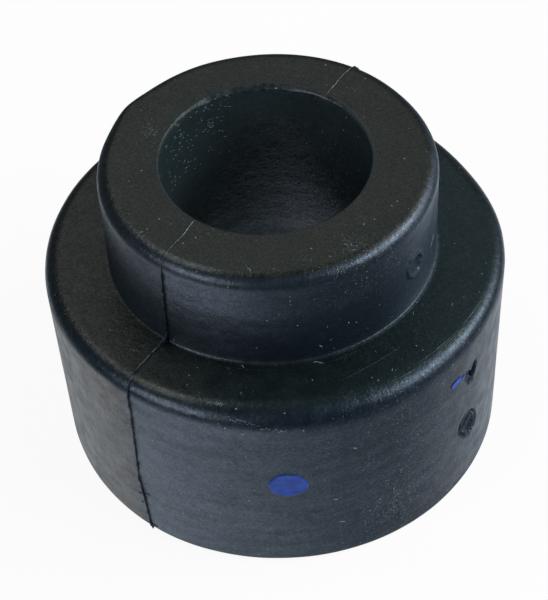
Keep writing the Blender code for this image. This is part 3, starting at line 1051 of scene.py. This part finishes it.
# The two fins of flash: angle, height and width by the length of the path from the bore's mouth
front_turns = (
    [0, 3, 6, 8, 10.5, 25, 28, 33, 37, 42, 60, 66, 75],
    [-130.4, -129.8, -129.4, -128.9, -128.6, -129.1, -131.0, -130.4, -129.4, -129.2, -130.2, -129.3, -128.4],
)
front_heights = (
    [0, 0.6, 4, 6, 7.5, 10, 12, 24, 26, 27, 30, 34, 38, 75],
    [0.10, 0.25, 0.2, 0.1, 0.05, 0.15, 0.55, 0.6, 0.9, 0.9, 0.35, 0.35, 0.42, 0.36],
)
front_widths = (
    [0, 1, 5, 7, 10, 12, 26, 28, 31, 35, 37, 75],
    [0.3, 0.36, 0.25, 0.15, 0.15, 0.2, 0.2, 0.5, 0.7, 0.55, 0.16, 0.14],
)
mount(make_flash("flash_front", front_turns, front_heights, front_widths, 2.0, flash_rubber))
back_turns = ([0, 0.5, 4, 8, 12, 75], [53.0, 53.3, 54.9, 54.2, 53.0, 51.0])
back_heights = ([0, 0.6, 7, 9, 12, 75], [0.1, 0.22, 0.22, 0.3, 0.4, 0.4])
back_widths = ([0, 75], [0.22, 0.2])
mount(make_flash("flash_back", back_turns, back_heights, back_widths, 5.0, flash_rubber))

paint = make_blue()
spots = [paint_spot(DAB_OUTLINE, *DAB)] + [paint_spot(SMEAR_OUTLINE, *smear) for smear in SMEARS]
mount(new_mesh("paint_dab", *joined(spots), paint))

# Flecks that stand out in the photo: angle, place on the zone and size of each
clear_spots = {
    "top": [
        (-120, 18.8, 0.4), (-119, 17.95, 0.35), (64, 24.1, 0.5), (49, 20.7, 0.3), (45, 21.0, 0.35),
        (-44, 21.7, 0.4), (-44, 23.1, 0.3), (-93, 21.0, 0.4), (-105, 23.7, 0.4), (-100, 23.6, 0.4),
        (-90, 24.2, 0.4), (12, 23.3, 0.3), (92, 22.0, 0.4), (-171, 21.8, 0.35), (165, 18.4, 0.4),
    ],
    "collar": [
        (-66, 43.5, 0.45), (-45, 50.3, 0.4), (-46, 51.5, 0.35), (-107, 48.1, 0.3), (-124, 49.0, 0.25),
        (-67, 50.5, 0.5), (-71, 49.5, 0.4),
    ],
    "shoulder": [
        (-164, 31.7, 0.5), (-117, 31.4, 0.4), (-116, 33.3, 0.5), (-118, 34.1, 0.3), (-116, 29.4, 0.35),
        (-45, 27.5, 0.3), (-46, 30.9, 0.35), (-27, 33.0, 0.4),
    ],
    "barrel": [
        (-71, 5.0, 0.5), (-61, 17.6, 0.45), (-61, 17.0, 0.35), (-52, 7.0, 0.4), (-50, 25.7, 0.4),
        (-55, 21.2, 0.35), (-42, 22.8, 0.35), (-83, 25.7, 0.4), (-81, 30.9, 0.35), (-86, 14.9, 0.45),
        (-95, 32.2, 0.4), (-98, 18.4, 0.3), (-88, 10.4, 0.35), (-77, 3.3, 0.35), (-63, 13.3, 0.5),
    ],
}
flecks = []
for zone, places in clear_spots.items():
    for angle, value, size in places:
        flecks.append(fleck(zone, angle, value, size * 0.75, size * 0.5, rng.uniform(0, 180), 0.08))

# Longer crumbs: zone, angle, place, length, width and heading of each
strokes = [
    ("top", -143, 25.1, 1.0, 0.25, 80), ("shoulder", -102.5, 27.3, 0.9, 0.22, -45),
    ("shoulder", -40, 27.6, 0.9, 0.15, 30), ("shoulder", -31, 32.0, 1.4, 0.2, 15),
    ("shoulder", -60, 34.6, 0.9, 0.15, 40), ("barrel", -77, 9.4, 1.5, 0.28, -30),
    ("barrel", -78.6, 16.0, 1.1, 0.2, -20), ("barrel", -73.6, 28.5, 1.2, 0.4, -40),
    ("barrel", -100, 34.5, 1.1, 0.2, 25), ("barrel", -120.5, 14.1, 1.1, 0.15, -80),
    ("collar", -76, 40.2, 0.9, 0.3, -50),
]
flecks += [fleck(*stroke) for stroke in strokes]

# Fine dust, denser on the front right: zone, count, range of angles, range of places and size
strewn = [
    ("top", 160, (-180, 180), (17.8, 24.8), 0.13),
    ("collar", 50, (-180, 180), (38.5, 53.5), 0.11),
    ("collar", 70, (-78, -20), (39.0, 53.5), 0.14),
    ("collar", 150, (-62, -14), (48.0, 53.8), 0.13),
    ("collar_edge", 160, (-80, -20), (0, 90), 0.14),
    ("shoulder", 190, (-180, 180), (27.5, 34.8), 0.13),
    ("barrel", 120, (-180, 180), (3.2, 34.0), 0.13),
    ("barrel", 500, (-85, -30), (3.2, 33.0), 0.17),
    ("barrel", 70, (-112, -75), (3.2, 33.0), 0.12),
    ("barrel_edge", 160, (-80, -25), (10, 90), 0.14),
]
for row in strewn:
    flecks += scatter(*row)

# Pale flecks on the left wall of the bore, painted glints where its fine bumps catch the light, and three
# single ones
for _ in range(110):
    spot = (rng.uniform(108, 160), rng.uniform(43.0, 55.3))
    size = (rng.uniform(0.35, 1.1), rng.uniform(0.06, 0.11))
    flecks.append(fleck("bore", *spot, *size, rng.uniform(-16, 12), 0.03))
flecks += [fleck("bore", a, z, 0.4, 0.25, 60) for a, z in ((55.3, 47.9), (40.1, 50.8), (112.9, 52.1))]

# Dust gathered in patches: zone, count, angle, place, spread and size
gathered = [
    ("top", 110, 157, 20.2, 1.9, 0.16),
    ("top", 14, -78, 23.1, 0.9, 0.2),
    ("top", 90, -60, 23.6, 2.2, 0.17),
    ("barrel", 420, -63.5, 9.6, 5.4, 0.18),
    ("barrel", 90, -57, 25.0, 5.0, 0.13),
    ("barrel", 40, -96, 10.5, 3.0, 0.14),
]
for row in gathered:
    flecks += patch(*row)

# A comb of scratches on the barrel's edge, and a line of crumbs across it
for index in range(8):
    spot = (-109.0 + 0.52 * index, 16 + rng.uniform(-4, 4))
    flecks.append(fleck("barrel_edge", *spot, 0.9, 0.14, 62, 0.06))
for share in np.linspace(0, 1, 26):
    spot = (-103.3 + 14 * share, 52 + 33 * share + rng.uniform(-5, 5))
    flecks.append(fleck("barrel_edge", *spot, rng.uniform(0.2, 0.6), rng.uniform(0.13, 0.22), 0, 0.06))
mount(new_mesh("dust_flecks_and_painted_glints", *joined(flecks), dust))

# Hairs and fine scratches, and two pale lines painted as highlights low on the collar's left
edge_hair = [("collar_edge", -68.6, 48), ("collar_edge", -69.6, 66)]
edge_hair += [("collar", -70.4, 53.4), ("collar", -71.4, 53.0)]
shoulder_hair = ((-79.6, 27.3), (-78.6, 27.2), (-77.6, 27.6), (-76.4, 28.0))
fibres = [
    fibre(edge_hair, 0.1),
    fibre([("top", -99.6, 23.9), ("top", -98.2, 24.3), ("collar_edge", -98.0, 25)], 0.12),
    fibre([("shoulder", a, r) for a, r in shoulder_hair], 0.2),
    fibre([("collar", -17.5, 45.4), ("collar", -20, 45.0), ("collar", -23.5, 44.0)], 0.07),
]
scratches = [
    ((-53, 14), (-48, 12), (-43, 11), (-38, 13)), ((-47, 18), (-42, 17), (-37, 19)),
    ((-44, 24), (-40, 23), (-33, 27)), ((-63, 24), (-58, 25), (-53, 24)), ((-36, 12), (-31, 14), (-26, 18)),
]
fibres += [fibre([("barrel_edge", a, t) for a, t in stops], 0.09) for stops in scratches]
# Painted highlights: two pale lines just below the collar's left rounding
fibres += [fibre([("collar", a, 52.1 + 0.1 * k) for k, a in enumerate((-166, -158, -150, -140))], 0.14)]
fibres += [fibre([("collar", a, 51.3) for a in (-152, -146, -140)], 0.1)]
mount(new_mesh("fibres", *joined(fibres), dust))

# Dark marks: two scuff lines on the shoulder, nicks low in the bore, and burrs on the flash
inner_scuff = ((-104, 27.9), (-96, 28.1), (-88, 28.25), (-80, 28.2), (-72, 28.0), (-64, 27.6))
outer_scuff = ((-75, 33.1), (-70, 32.5), (-65, 31.9), (-60, 31.5), (-53, 31.2))
scuffs = [fibre([("shoulder", a, r) for a, r in stops], 0.1) for stops in (inner_scuff, outer_scuff)]
for _ in range(48):
    spot = (rng.uniform(64, 112), rng.uniform(30.0, 42.0))
    scuffs.append(fleck("bore", *spot, rng.uniform(0.3, 1.0), 0.16, rng.uniform(-10, 10), 0.07))
burrs = [
    ((-129.4, 9.4), (-130.6, 9.0), (-131.6, 8.8)), ((-129.4, 9.4), (-128.4, 9.9), (-127.4, 9.9)),
    ((-129.6, 7.0), (-130.4, 6.6), (-130.9, 6.7)), ((-128.4, 1.6), (-127.6, 1.3), (-126.6, 1.3)),
]
scuffs += [fibre([("barrel", a, z) for a, z in stops], 0.14) for stops in burrs]
mount(new_mesh("scuffs", *joined(scuffs), rubber))

make_floor()
make_world()
make_camera()
add_softbox("right_softbox", -8, 31, 1.2, 1.2, 0.34, 12.5)
add_softbox("right_wide_softbox", 2, 33, 1.3, 2.0, 1.4, 9.0)
add_softbox("left_softbox", -138, 20, 1.2, 0.87, 0.44, 5.6)
add_softbox("back_softbox", 86, 46, 1.5, 1.1, 0.8, 1.35)
add_softbox("back_left_softbox", 148, 63, 1.2, 0.75, 0.25, 2.1)
